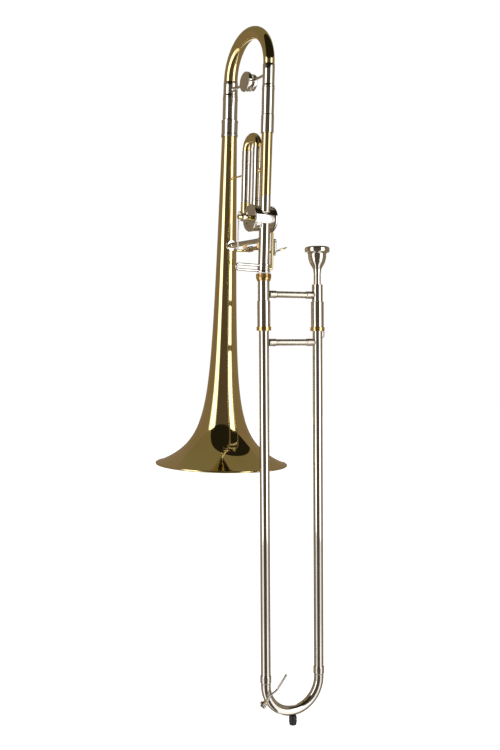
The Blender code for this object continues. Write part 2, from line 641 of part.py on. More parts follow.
def build_brace(name, height, left, right):
    """A slide brace: a tube with a socket at each end, from one tube's wall to the other's."""
    start = left + GAP
    end = SLIDE_SPACING - right - GAP
    profile = []
    socket = BRACE_SOCKET_LENGTH
    for radius, along in ((0, end), (BRACE_SOCKET_RADIUS, end), (BRACE_SOCKET_RADIUS, end - socket),
                          (BRACE_RADIUS, end - socket - 0.5 * MM),
                          (BRACE_RADIUS, start + socket + 0.5 * MM),
                          (BRACE_SOCKET_RADIUS, start + socket), (BRACE_SOCKET_RADIUS, start),
                          (0, start)):
        profile.append((radius, along))
    turned(name, profile, "nickel", None, (0, 0, height), (0, math.radians(90), 0), False)


def build_outer_slide():
    for side, x in (("left", 0), ("right", SLIDE_SPACING)):
        bottom = CROOK_TANGENT + 4 * MM
        pipe("outer_tube_" + side, OUTER_TUBE_RADIUS, OUTER_TUBE_WALL, OUTER_TUBE_TOP, bottom,
             "nickel", None, (x, 0, 0))
        ferrule_bore = OUTER_TUBE_RADIUS + 0.1 * MM
        outer = ferrule_bore + CROOK_FERRULE_WALL
        top = bottom + CROOK_FERRULE_LENGTH
        turned("crook_ferrule_" + side, [(ferrule_bore + 0.3 * MM, top), (outer, top - 1 * MM),
                                         (outer, bottom + 1 * MM), (ferrule_bore + 0.3 * MM, bottom),
                                         (ferrule_bore, bottom), (ferrule_bore, top)],
               "nickel", None, (x, 0, 0))
    radius = SLIDE_SPACING / 2
    points = [Vector((0, 0, CROOK_TANGENT + 4 * MM - GAP))]
    points += arc((radius, 0, CROOK_TANGENT), radius, 180, 360, 24, (X, Z))
    points.append(Vector((SLIDE_SPACING, 0, CROOK_TANGENT + 4 * MM - GAP)))
    bent("slide_crook", points, OUTER_TUBE_RADIUS, "nickel", None, None, 4)
    lowest = CROOK_TANGENT - radius - OUTER_TUBE_RADIUS
    top = lowest - GAP
    bottom = top - BUMPER_LENGTH
    small = BUMPER_RADIUS * 0.85
    turned("rubber_bumper", [(0, top), (small, top), (BUMPER_RADIUS, top - 3 * MM),
                             (BUMPER_RADIUS, bottom + 5 * MM), (small, bottom), (0, bottom)],
           "rubber", None, (radius, 0, 0), hollow=False)
    build_brace("outer_slide_brace", OUTER_BRACE_HEIGHT, OUTER_TUBE_RADIUS, OUTER_TUBE_RADIUS)
    build_brace("inner_slide_brace", INNER_BRACE_HEIGHT, SLEEVE_RADIUS, SLEEVE_RADIUS - 0.5 * MM)


def build_water_key():
    """Water key on the crook's left bend: nipple, saddle, and a sprung lever with its pad."""
    radius = SLIDE_SPACING / 2
    angle = math.radians(208)
    outward = Vector((math.cos(angle), 0, math.sin(angle)))
    inward = -outward
    centre = Vector((radius, 0, CROOK_TANGENT))
    seat = centre + outward * (radius + OUTER_TUBE_RADIUS + GAP)
    rod("key_nipple", 3.4 * MM, seat, seat + outward * 3 * MM, "gold", None, 16)
    pad_top = seat + outward * (3 * MM + GAP)
    rod("key_pad", 4.4 * MM, pad_top, pad_top + outward * 3.5 * MM, "steel", None, 16)
    side = OUTER_TUBE_RADIUS + 1.4 * MM + 2 * GAP
    pivot_angle = math.radians(194)
    pivot = centre + radius * Vector((math.cos(pivot_angle), 0, math.sin(pivot_angle)))
    start = pivot + Vector((0, -OUTER_TUBE_RADIUS - GAP, 0))
    rod("key_saddle", 2.6 * MM, start, start + Vector((0, -3 * MM, 0)), "nickel", None, 16)
    shift = Vector((0, -side - 3 * MM, 0))
    back = pad_top + outward * (3.5 * MM + GAP)
    tip = Vector((31 * MM, 0, CROOK_TANGENT + 16 * MM))
    points = [back + outward * 1.4 * MM, back + outward * 1.4 * MM + shift, pivot + shift,
              pivot + shift + inward * 12 * MM, tip + shift * 0.9]
    bent("water_key", points, 1.4 * MM, "nickel")


def build_mouthpiece():
    rim = RIM_RADIUS
    top = MOUTHPIECE_TOP
    low = top - RIM_HEIGHT
    cup = CUP_RADIUS
    profile = [(rim - 2.6 * MM, top), (rim - 0.8 * MM, top - 1.2 * MM), (rim, top - 3.5 * MM),
               (rim - 0.4 * MM, low + 1 * MM), (rim - 2 * MM, low), (rim - 5 * MM, low - 2 * MM),
               (rim - 5.6 * MM, low - 9 * MM), (rim - 8 * MM, low - 17 * MM),
               (rim - 12 * MM, low - 24 * MM), (SHANK_RADIUS + 0.8 * MM, low - 28 * MM),
               (SHANK_RADIUS, low - 34 * MM), (SHANK_RADIUS, MOUTHPIECE_RECEIVER_TOP),
               (SHANK_TIP_RADIUS, SHANK_BOTTOM), (BACKBORE_RADIUS, SHANK_BOTTOM),
               (BACKBORE_RADIUS, top - CUP_DEPTH - 4 * MM), (BACKBORE_RADIUS + 1 * MM, top - CUP_DEPTH),
               (cup * 0.82, top - CUP_DEPTH * 0.6), (cup, top - 4 * MM), (cup + 1.2 * MM, top - 1 * MM)]
    turned("mouthpiece", profile, "nickel", None, (SLIDE_SPACING, 0, 0), sides=28)


def build_slide_lock():
    bore = OUTER_TUBE_RADIUS + 1.2 * MM
    top = BARREL_BOTTOM - GAP
    bottom = top - BARREL_RING_LENGTH
    turned("slide_lock_ring", [(BARREL_RING_RADIUS, top), (BARREL_RING_RADIUS, bottom),
                               (bore, bottom), (bore, top)], "gold", None, (SLIDE_SPACING, 0, 0))


build_bell()
build_tuning_slide()
casing_cutter = build_neck()
arm_plane = build_valve()
build_f_attachment(casing_cutter)
build_lever_braces()
link_top = build_stop_arm(arm_plane)
build_thumb_lever(link_top)
build_finger_rest()
build_lock_nut()
build_inner_slide()
build_outer_slide()
build_water_key()
build_mouthpiece()
build_slide_lock()
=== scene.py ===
"""Tenor trombone: smooth finished pieces, metal finishes, camera and studio light.

It is laid out as an add-on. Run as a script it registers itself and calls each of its
operators once.
"""

import json
import math

import bmesh
import bpy
from mathutils import Euler, Matrix, Quaternion, Vector


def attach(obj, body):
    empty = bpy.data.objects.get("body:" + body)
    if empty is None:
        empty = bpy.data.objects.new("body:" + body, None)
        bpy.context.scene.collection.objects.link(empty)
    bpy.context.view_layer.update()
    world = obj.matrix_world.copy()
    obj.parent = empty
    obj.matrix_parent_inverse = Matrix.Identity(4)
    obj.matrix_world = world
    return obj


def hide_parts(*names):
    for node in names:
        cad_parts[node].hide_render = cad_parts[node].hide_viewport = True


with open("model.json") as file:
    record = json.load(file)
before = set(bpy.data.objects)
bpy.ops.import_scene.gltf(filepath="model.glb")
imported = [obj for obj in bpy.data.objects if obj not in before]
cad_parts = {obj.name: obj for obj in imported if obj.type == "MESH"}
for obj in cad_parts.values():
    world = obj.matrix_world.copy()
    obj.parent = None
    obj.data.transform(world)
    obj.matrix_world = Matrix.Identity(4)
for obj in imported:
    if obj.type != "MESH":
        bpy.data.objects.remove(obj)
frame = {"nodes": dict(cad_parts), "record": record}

bl_info = {
    "name": "Tenor Trombone",
    "version": (1, 0, 0),
    "blender": (4, 5, 0),
    "location": "View3D > Sidebar > Trombone",
    "description": "Builds a tenor trombone's finished pieces and its studio",
    "category": "Object",
}

MM = 0.001
GAP = 0.3 * MM
X = Vector((1, 0, 0))
Y = Vector((0, 1, 0))
Z = Vector((0, 0, 1))

# Bell section's own frame: Y runs from the neck to the bell, X is square to both
LEAN = math.radians(1.8)
LEAN_DIRECTION = math.radians(64)
BELL_FRAME = Euler((LEAN * math.cos(LEAN_DIRECTION), LEAN * math.sin(LEAN_DIRECTION),
                    math.radians(4))).to_matrix().to_4x4()
BELL_Y = 122 * MM
RIM_RADIUS = 110 * MM
RIM_Z = -310 * MM
STEM_TOP = 232 * MM
BOW_Z = 322 * MM
VALVE_Y = 14 * MM
VALVE_Z = 85.5 * MM
CASING_RADIUS = 20 * MM
CASING_HALF = 16 * MM
KNUCKLE_END = 9 * MM
F_NEAR = 28 * MM
F_FAR = 62 * MM
AXLE_Z = 41 * MM
BRACE_Z = 52 * MM
ARM_LENGTH = 14 * MM
ARM_TO_LINK = 2.7 * MM
LINK_X = -33.5 * MM
LINK_TO_LEVER = 3.3 * MM
LINK_BOTTOM = AXLE_Z - 6 * MM

# Hand slide
SPACING = 96 * MM
OUTER_RADIUS = 7.75 * MM
CROOK_Z = -646 * MM
# Low enough for the hand slide to be drawn out to its end
FLOOR_Z = -1290 * MM


def linear(code):
    """Linear colour of an sRGB hex value."""
    values = []
    for start in (0, 2, 4):
        value = int(code[start:start + 2], 16) / 255
        values.append(value / 12.92 if value <= 0.04045 else ((value + 0.055) / 1.055) ** 2.4)
    return (*values, 1)


def add_node(tree, kind, settings=None, inputs=None):
    """A node with its settings; an input is a value or another node's output socket."""
    node = tree.nodes.new(kind)
    for name, value in (settings or {}).items():
        setattr(node, name, value)
    for name, value in (inputs or {}).items():
        if isinstance(value, bpy.types.NodeSocket):
            tree.links.new(value, node.inputs[name])
        else:
            node.inputs[name].default_value = value
    return node


# name: slot, darker and lighter hex, metallic, roughness, size of the variation in mm, bump in mm
FINISHES = {
    # Yellow brass, spun and buffed under clear lacquer: a soft unevenness of tint in wide patches
    "lacquered_yellow_brass": ("lacquered_brass", "D6C184", "E4D3A0", 1, 0.06, 60, 0.0005),
    # Nickel silver, drawn and polished: a warm grey mirror, slightly duller in patches
    "polished_nickel_silver": ("nickel_silver", "D2CCC3", "E2DED7", 1, 0.07, 45, 0.0005),
    # Nickel silver braces, brushed to a satin so that a hand grips them
    "satin_nickel_silver": ("nickel_silver", "BDB4A6", "CBC3B7", 1, 0.34, 30, 0.002),
    # Gold brass, turned and lacquered: redder than the bell
    "turned_gold_brass": ("gold_brass", "DDB874", "EBCB92", 1, 0.16, 18, 0.002),
    # Drawn spring steel: dull bright wire
    "drawn_spring_steel": ("spring_steel", "9A9A98", "B4B4B0", 1, 0.28, 6, 0.004),
    # Natural cork: brown grains about 1 mm across
    "natural_cork": ("cork", "8F6238", "B98A56", 0, 0.85, 1.2, 0.15),
    # Moulded rubber: matt black with a faint mould grain
    "moulded_black_rubber": ("rubber", "161616", "262625", 0, 0.5, 0.8, 0.03),
}
SLOT_FINISH = {row[0]: name for name, row in reversed(FINISHES.items())}


def make_finish(name):
    """A material with colour variation, uneven roughness and a faint bump."""
    dark, light, metallic, roughness, size, bump = FINISHES[name][1:]
    material = bpy.data.materials.new(name)
    material.use_nodes = True
    tree = material.node_tree
    shader = tree.nodes["Principled BSDF"]
    place = add_node(tree, "ShaderNodeTexCoord").outputs["Object"]
    noise = add_node(tree, "ShaderNodeTexNoise", None,
                     {"Vector": place, "Scale": 1 / (size * MM), "Detail": 1.0})
    tint = add_node(tree, "ShaderNodeMix", {"data_type": "RGBA"})
    tree.links.new(noise.outputs["Fac"], tint.inputs[0])
    tint.inputs[6].default_value = linear(dark)
    tint.inputs[7].default_value = linear(light)
    tree.links.new(tint.outputs[2], shader.inputs["Base Color"])
    spread = add_node(tree, "ShaderNodeMapRange", None,
                      {"Value": noise.outputs["Fac"], "To Min": roughness * 0.75,
                       "To Max": roughness * 1.3})
    tree.links.new(spread.outputs["Result"], shader.inputs["Roughness"])
    relief = add_node(tree, "ShaderNodeBump", None,
                      {"Height": noise.outputs["Fac"], "Distance": bump * MM})
    relief.inputs["Strength"].default_value = 0.4
    tree.links.new(relief.outputs["Normal"], shader.inputs["Normal"])
    shader.inputs["Metallic"].default_value = metallic
    return material


MATERIALS = {name: make_finish(name) for name in FINISHES}
BRASS = "lacquered_yellow_brass"
NICKEL = "polished_nickel_silver"
SATIN = "satin_nickel_silver"
GOLD = "turned_gold_brass"
STEEL = "drawn_spring_steel"
CORK = "natural_cork"
RUBBER = "moulded_black_rubber"


def add_piece(node, mesh, finish, body="root", in_bell=True, stands_for=True):
    """Link a mesh as the finished piece of a CAD node, smooth, facing out, on its body.

    A small fitting that the plain model doesn't have stands for no node.
    """
    if in_bell:
        mesh.transform(BELL_FRAME)
    work = bmesh.new()
    work.from_mesh(mesh)
    bmesh.ops.remove_doubles(work, verts=work.verts, dist=0.000002)
    bmesh.ops.recalc_face_normals(work, faces=work.faces)
    work.to_mesh(mesh)
    work.free()
    mesh.materials.clear()
    mesh.materials.append(MATERIALS[finish])
    for face in mesh.polygons:
        face.use_smooth = True
        face.material_index = 0
    mesh.set_sharp_from_angle(angle=math.radians(32))
    piece = bpy.data.objects.new(node + "_finished", mesh)
    bpy.context.scene.collection.objects.link(piece)
    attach(piece, body)
    if stands_for:
        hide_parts(node)
    return piece


def eased(profile, size, closed=True):
    """The profile with its sharp corners rounded by a quadratic curve of the given size."""
    count = len(profile)
    points = [Vector(point) for point in profile]
    result = []
    for i, point in enumerate(points):
        before = points[i - 1]
        after = points[(i + 1) % count]
        end = not closed and i in (0, count - 1)
        room = min((point - before).length, (after - point).length)
        if end or room < 1e-7 or point.x < 1e-6:
            result.append(tuple(point))
            continue
        arm = min(size, room * 0.42)
        first = point + (before - point).normalized() * arm
        last = point + (after - point).normalized() * arm
        for step in range(4):
            t = step / 3
            curve = (1 - t) ** 2 * first + 2 * t * (1 - t) * point + t ** 2 * last
            result.append(tuple(curve))
    return result


def lathe(profile, ease=0.3 * MM, closed=True, sides=None):
    """A mesh of a (radius, height) profile turned about Z. An open one ends on the axis."""
    sides = sides or bpy.context.scene.trombone.sides
    profile = eased(profile, ease, closed) if ease else profile
    verts = []
    rings = []
    for radius, height in profile:
        if radius < 1e-6:
            rings.append([len(verts)] * sides)
            verts.append((0, 0, height))
            continue
        rings.append(list(range(len(verts), len(verts) + sides)))
        for side in range(sides):
            turn = 2 * math.pi * side / sides
            verts.append((radius * math.cos(turn), radius * math.sin(turn), height))
    pairs = list(zip(rings, rings[1:]))
    if closed:
        pairs.append((rings[-1], rings[0]))
    faces = []
    for above, below in pairs:
        for side in range(sides):
            after = (side + 1) % sides
            face = (above[side], below[side], below[after], above[after])
            corners = list(dict.fromkeys(face))
            if len(corners) > 2:
                faces.append(corners)
    mesh = bpy.data.meshes.new("turned")
    mesh.from_pydata(verts, [], faces)
    return mesh


def moved(mesh, offset):
    mesh.transform(Matrix.Translation(Vector(offset)))
    return mesh


def along_x(mesh, offset):
    """A turned mesh laid along X, its axis through the given point."""
    turn = Matrix.Rotation(math.radians(90), 4, "Y")
    mesh.transform(Matrix.Translation(Vector(offset)) @ turn)
    return mesh


def bar(start, end, profile, ease=0.3 * MM, closed=False):
    """A turned mesh whose height runs from start towards end."""
    start = Vector(start)
    turn = (Vector(end) - start).to_track_quat("Z", "Y").to_matrix().to_4x4()
    mesh = lathe(profile, ease, closed)
    mesh.transform(Matrix.Translation(start) @ turn)
    return mesh


def plain_bar(start, end, radius, ease=0.3 * MM):
    length = (Vector(end) - Vector(start)).length
    return bar(start, end, [(0, length), (radius, length), (radius, 0), (0, 0)], ease)


def tube_profile(outer, bore, top, bottom):
    return [(outer, top), (outer, bottom), (bore, bottom), (bore, top)]


def plain_mesh(obj):
    """The object's evaluated mesh; the object and its modifiers go."""
    bpy.context.view_layer.update()
    evaluated = obj.evaluated_get(bpy.context.evaluated_depsgraph_get())
    mesh = bpy.data.meshes.new_from_object(evaluated)
    obj.modifiers.clear()
    bpy.data.objects.remove(obj, do_unlink=True)
    return mesh


def combined(mesh, others, operation):
    """The mesh after a Boolean with each of the others."""
    base = bpy.data.objects.new("base", mesh)
    bpy.context.scene.collection.objects.link(base)
    tools = []
    for other in others:
        tool = bpy.data.objects.new("tool", other)
        bpy.context.scene.collection.objects.link(tool)
        boolean = base.modifiers.new("combine", "BOOLEAN")
        boolean.operation = operation
        boolean.object = tool
        boolean.solver = "EXACT"
        tools.append(tool)
    result = plain_mesh(base)
    for tool in tools:
        bpy.data.objects.remove(tool, do_unlink=True)
    return result


def joined(meshes):
    """One mesh holding all the given ones."""
    work = bmesh.new()
    for mesh in meshes:
        work.from_mesh(mesh)
    result = bpy.data.meshes.new("joined")
    work.to_mesh(result)
    work.free()
    return result


def new_group(name):
    group = bpy.data.node_groups.new(name, "GeometryNodeTree")
    group.interface.new_socket("Geometry", in_out="INPUT", socket_type="NodeSocketGeometry")
    group.interface.new_socket("Geometry", in_out="OUTPUT", socket_type="NodeSocketGeometry")
    return group


def run_group(group, geometry, finish, mesh):
    """Close a node group with Realize Instances and Set Material, and return its mesh."""
    real = add_node(group, "GeometryNodeRealizeInstances", None, {"Geometry": geometry})
    coat = add_node(group, "GeometryNodeSetMaterial", None,
                    {"Geometry": real.outputs["Geometry"], "Material": MATERIALS[finish]})
    end = add_node(group, "NodeGroupOutput")
    group.links.new(coat.outputs["Geometry"], end.inputs["Geometry"])
    obj = bpy.data.objects.new(group.name, mesh)
    bpy.context.scene.collection.objects.link(obj)
    modifier = obj.modifiers.new("build", "NODES")
    modifier.node_group = group
    return plain_mesh(obj)


def swept(points, radii, finish, sides=40):
    """A round bar along a path, made by Geometry Nodes. radii is one value or one a point."""
    count = len(points)
    widths = radii if isinstance(radii, list) else [radii] * count
    path = bpy.data.meshes.new("path")
    path.from_pydata([tuple(point) for point in points],
                     [(i, i + 1) for i in range(count - 1)], [])
    path.attributes.new("width", "FLOAT", "POINT").data.foreach_set("value", widths)
    group = new_group("sweep")
    start = add_node(group, "NodeGroupInput").outputs["Geometry"]
    curve = add_node(group, "GeometryNodeMeshToCurve", None, {"Mesh": start})
    width = add_node(group, "GeometryNodeInputNamedAttribute", {"data_type": "FLOAT"},
                     {"Name": "width"})
    sized = add_node(group, "GeometryNodeSetCurveRadius", None,
                     {"Curve": curve.outputs["Curve"], "Radius": width.outputs["Attribute"]})
    ring = add_node(group, "GeometryNodeCurvePrimitiveCircle", None,
                    {"Resolution": sides, "Radius": 1.0})
    solid = add_node(group, "GeometryNodeCurveToMesh", None,
                     {"Curve": sized.outputs["Curve"], "Profile Curve": ring.outputs["Curve"],
                      "Fill Caps": True})
    if "Scale" in solid.inputs:
        group.links.new(width.outputs["Attribute"], solid.inputs["Scale"])
    return run_group(group, solid.outputs["Mesh"], finish, path)


def knurls(count, radius, height, thick, finish):
    """Small upright ridges round a ring, instanced by Geometry Nodes."""
    group = new_group("knurl")
    ring = add_node(group, "GeometryNodeMeshCircle", None,
                    {"Vertices": count, "Radius": radius})
    ridge = add_node(group, "GeometryNodeMeshCylinder", None,
                     {"Vertices": 8, "Radius": thick, "Depth": height})
    copies = add_node(group, "GeometryNodeInstanceOnPoints", None,
                      {"Points": ring.outputs["Mesh"], "Instance": ridge.outputs["Mesh"]})
    return run_group(group, copies.outputs["Instances"], finish, bpy.data.meshes.new("knurl"))


def arc(centre, radius, start, end, steps, plane):
    """Points on an arc from start to end (degrees) in a plane given by two unit vectors."""
    first, second = plane
    points = []
    for i in range(steps + 1):
        turn = math.radians(start + (end - start) * i / steps)
        points.append(Vector(centre) + radius * (math.cos(turn) * first + math.sin(turn) * second))
    return points


def u_bend(near, far, height, steps=64):
    lead = 2 * MM
    radius = (far - near) / 2
    points = [Vector((0, near, height))]
    points += arc((0, near + radius, height + lead), radius, 0, 180, steps, (-Y, Z))
    points.append(Vector((0, far, height)))
    return points


def softened(points, cut=5 * MM, steps=8):
    """A path whose corners are rounded, as bent wire's are."""
    points = [Vector(point) for point in points]
    result = [points[0]]
    for before, point, after in zip(points, points[1:], points[2:]):
        arm = min(cut, 0.45 * (before - point).length, 0.45 * (after - point).length)
        first = point + (before - point).normalized() * arm
        last = point + (after - point).normalized() * arm
        for step in range(steps + 1):
            t = step / steps
            result.append((1 - t) ** 2 * first + 2 * t * (1 - t) * point + t ** 2 * last)
    result.append(points[-1])
    return result


def smooth_profile(points, steps=6):
    """A smooth curve through profile points, for spun and turned shapes."""
    points = [Vector(point) for point in points]
    padded = [points[0], *points, points[-1]]
    result = []
    for a, b, c, d in zip(padded, padded[1:], padded[2:], padded[3:]):
        for step in range(steps):
            t = step / steps
            curve = 0.5 * (2 * b + (c - a) * t + (2 * a - 5 * b + 4 * c - d) * t ** 2
                           + (3 * b - a - 3 * c + d) * t ** 3)
            result.append(tuple(curve))
    result.append(tuple(points[-1]))
    return result


def casing_tool():
    centre = Vector((0, VALVE_Y, VALVE_Z))
    reach = Vector((2 * CASING_HALF, 0, 0))
    return plain_bar(centre - reach, centre + reach, CASING_RADIUS + 0.05 * MM, 0)


def bell_radius(distance):
    """Outer radius of the bell at a distance above its rim: a cone plus a flare."""
    flare = 89 * MM * (1 + distance / (103 * MM)) ** -3
    return 21 * MM - 0.0164 * distance + flare


class TromboneSettings(bpy.types.PropertyGroup):
    sides: bpy.props.IntProperty(name="Sides", description="Facets round a tube",
                                 default=72, min=16, max=160)
    ridges: bpy.props.IntProperty(name="Ridges", description="Knurls round the lock nut",
                                  default=72, min=12, max=120)
    strip_light: bpy.props.FloatProperty(name="Strip light",
                                         description="Radiance of the two strip lights",
                                         default=2.0, min=0, max=20)


class TROMBONE_OT_bell(bpy.types.Operator):
    """Spin the bell with its rolled rim, and its tuning sleeve"""
    bl_idname = "trombone.bell"
    bl_label = "Bell"

    def execute(self, context):
        length = STEM_TOP - GAP - RIM_Z
        bead = 1.8 * MM
        stations = 110
        wall = 0.8 * MM
        outer = []
        for i in range(stations):
            distance = length * (1 - i / stations) ** 2.2
            outer.append((bell_radius(distance), RIM_Z + distance))
        centre = RIM_Z - 0.2 * bead
        outer = [point for point in outer if point[1] > centre + 1.2 * bead]
        inner = [(radius - wall, height) for radius, height in reversed(outer)]
        rim = []
        for turn in range(60, -181, -12):
            angle = math.radians(turn)
            rim.append((RIM_RADIUS - bead + bead * math.cos(angle),
                        centre + bead * math.sin(angle)))
        mesh = lathe(outer + rim + inner, 0, True, 128)
        add_piece("bell", moved(mesh, (0, BELL_Y, 0)), BRASS)
        stem = bell_radius(length)
        ring = 13.8 * MM
        profile = [(12.2 * MM, 301 * MM), (12.2 * MM, 296 * MM), (12.5 * MM, 295.4 * MM),
                   (12.5 * MM, 293 * MM), (12.2 * MM, 292.4 * MM), (12.2 * MM, 260 * MM),
                   (ring, 259 * MM), (ring, 256 * MM), (ring - 0.5 * MM, 255 * MM),
                   (ring - 0.5 * MM, 237 * MM), (ring, 236 * MM), (ring, STEM_TOP),
                   (stem - wall, STEM_TOP), (11.38 * MM, 260 * MM), (11.38 * MM, 301 * MM)]
        add_piece("bell_tuning_sleeve", moved(lathe(profile), (0, BELL_Y, 0)), NICKEL)
        return {"FINISHED"}


class TROMBONE_OT_tuning_slide(bpy.types.Operator):
    """Build the main tuning slide with its bow, legs, brace and two balance weights"""
    bl_idname = "trombone.tuning_slide"
    bl_label = "Tuning slide"

    def execute(self, context):
        body = "tuning_slide"
        for node, radius, sleeve_top, bottom, y in (
                ("bell_tuning_leg", 11.3 * MM, 301 * MM, 264 * MM, BELL_Y),
                ("neck_tuning_leg", 8.7 * MM, 290 * MM, 248 * MM, 0)):
            ferrule = radius + 0.54 * MM
            profile = [(ferrule, BOW_Z - GAP), (ferrule, sleeve_top + GAP),
                       (radius, sleeve_top + GAP), (radius, bottom),
                       (radius - 0.5 * MM, bottom), (radius - 0.5 * MM, BOW_Z - GAP)]
            add_piece(node, moved(lathe(profile, 0.2 * MM), (0, y, 0)), NICKEL, body)
        points = u_bend(0, BELL_Y, BOW_Z)
        last = len(points) - 1
        radii = [(8.7 + 2.6 * i / last) * MM for i in range(last + 1)]
        add_piece("tuning_bow", swept(points, radii, BRASS, 64), BRASS, body)
        height = 308 * MM
        near = 9.54 * MM
        far = BELL_Y - 12.14 * MM
        length = far - near
        profile = [(0, length), (4.2 * MM, length), (4.2 * MM, length - 2 * MM),
                   (2.2 * MM, length - 4 * MM), (2.2 * MM, 4 * MM), (4.2 * MM, 2 * MM),
                   (4.2 * MM, 0), (0, 0)]
        add_piece("tuning_brace", bar((0, near, height), (0, far, height), profile), NICKEL, body)
        half = 3 * MM
        step = 0.8 * MM
        for node, side, size in (("front_balance_weight", -1, 16 * MM),
                                 ("rear_balance_weight", 1, 13.6 * MM)):
            profile = [(0, half), (size - step, half), (size, half - step),
                       (size, step - half), (size - step, -half), (0, -half)]
            mesh = lathe(profile, 0.3 * MM, False)
            mesh = along_x(mesh, (side * 5.5 * MM, BELL_Y / 2, height))
            add_piece(node, mesh, NICKEL, body)
        return {"FINISHED"}


class TROMBONE_OT_neck(bpy.types.Operator):
    """Build the gooseneck from the slide receiver through the valve to its sleeve"""
    bl_idname = "trombone.neck"
    bl_label = "Neck"

    def execute(self, context):
        knuckle = plain_bar((0, 0, VALVE_Z + KNUCKLE_END), (0, 0, 120 * MM), 7.9 * MM)
        add_piece("neck_knuckle", combined(knuckle, [casing_tool()], "DIFFERENCE"), NICKEL)
        profile = [(8.6 * MM, 216 * MM - GAP), (7.9 * MM, 120 * MM + GAP),
                   (6.9 * MM, 120 * MM + GAP), (7.6 * MM, 216 * MM - GAP)]
        add_piece("gooseneck", lathe(profile, 0.2 * MM), BRASS)
        profile = [(9.6 * MM, 290 * MM), (9.6 * MM, 286 * MM), (9.9 * MM, 285.4 * MM),
                   (9.9 * MM, 283 * MM), (9.6 * MM, 282.4 * MM), (9.6 * MM, 244 * MM),
                   (10 * MM, 243.4 * MM), (10 * MM, 216 * MM), (7.6 * MM, 216 * MM),
                   (8.78 * MM, 244 * MM), (8.78 * MM, 290 * MM)]
        add_piece("neck_tuning_sleeve", lathe(profile), NICKEL)
        receiver = plain_bar((0, 0, 14.3 * MM), (0, 0, VALVE_Z - KNUCKLE_END), 8.9 * MM)
        add_piece("receiver_tube", combined(receiver, [casing_tool()], "DIFFERENCE"), NICKEL)
        ring = 10.2 * MM
        profile = [(0, 14 * MM), (ring, 14 * MM), (ring, 11 * MM), (ring - 0.5 * MM, 10.4 * MM),
                   (ring - 0.5 * MM, 4 * MM), (ring, 3.4 * MM), (ring, 1 * MM), (0, 1 * MM)]
        add_piece("receiver_ring", lathe(profile, 0.4 * MM, False), NICKEL)
        self.side_fittings()
        return {"FINISHED"}

    @staticmethod
    def side_fittings():
        """The guard tube beside the receiver, and its saddle plate with two screws."""
        side = 13.2 * MM
        tube = 2.3 * MM
        path = softened([Vector((9.8 * MM, -1 * MM, 8 * MM)), Vector((side, -1.6 * MM, 8 * MM)),
                         Vector((side, -1.6 * MM, 64 * MM))], 3.4 * MM)
        add_piece("guard_tube", swept(path, tube, BRASS, 32), BRASS, "root", True, False)
        face = -4.9 * MM
        edge = side + 3.6 * MM
        low, high = 31 * MM, 52 * MM
        plate = swept([Vector((edge, face + 1.6 * MM, low)), Vector((edge, face + 1.6 * MM, high))],
                      2.6 * MM, NICKEL, 32)
        caps = []
        for height in (low, high):
            ball = lathe([(2.6 * MM * math.sin(math.radians(a)), 2.6 * MM * math.cos(math.radians(a)))
                          for a in range(0, 181, 12)], 0, False, 32)
            caps.append(moved(ball, (edge, face + 1.6 * MM, height)))
        add_piece("saddle_plate", joined([plate, *caps]), NICKEL, "root", True, False)
        for name, height in (("lower", low + 2 * MM), ("upper", high - 2 * MM)):
            head = [(0, 0.7 * MM), (0.5 * MM, 0.3 * MM), (1.3 * MM, 0.7 * MM), (1.6 * MM, 0.3 * MM),
                    (1.6 * MM, 0), (0, 0)]
            mesh = bar((edge, face - 0.9 * MM, height), (edge, face - 2 * MM, height), head)
            add_piece("saddle_screw_" + name, mesh, STEEL, "root", True, False)


